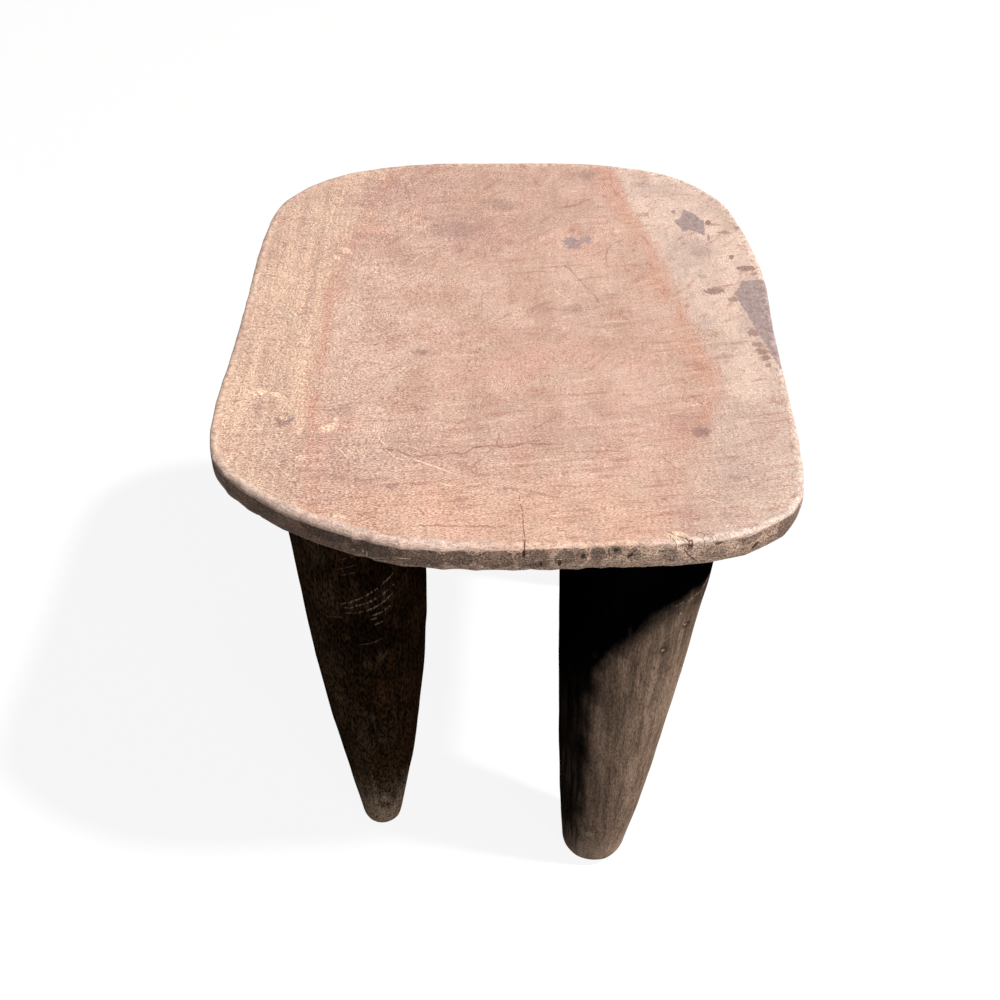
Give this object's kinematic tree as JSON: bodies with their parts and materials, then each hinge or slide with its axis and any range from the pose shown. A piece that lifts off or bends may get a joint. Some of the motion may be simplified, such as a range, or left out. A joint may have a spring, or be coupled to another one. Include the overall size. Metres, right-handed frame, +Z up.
{
  "type": "stool",
  "caption": "Hewn wooden stool: a shallow dished seat slab with rounded corners on stout, round legs that taper to blunt feet.",
  "frame": {"origin": "on the floor, under the middle of the seat's outline", "axes": "+Z up; +Y from the front of the seat, which the picture faces, to its back, along the log's grain and the seat's longer side; +X to the right seen from the front"},
  "size_m": [0.386, 0.468, 0.42],
  "materials": {
    "seat_wood": "bare, sun-bleached reddish heartwood, worn matt by use, with dark patina left at one side and on the rim",
    "leg_wood": "dark brown-black smoke patina over hewn wood, satin where it is handled, dusty and worn at the feet"
  },
  "bodies": {
    "root": {"seat": "seat_wood", "leg_front_left": "leg_wood", "leg_front_right": "leg_wood", "leg_back_left": "leg_wood", "leg_back_right": "leg_wood"}
  },
  "joints": []
}
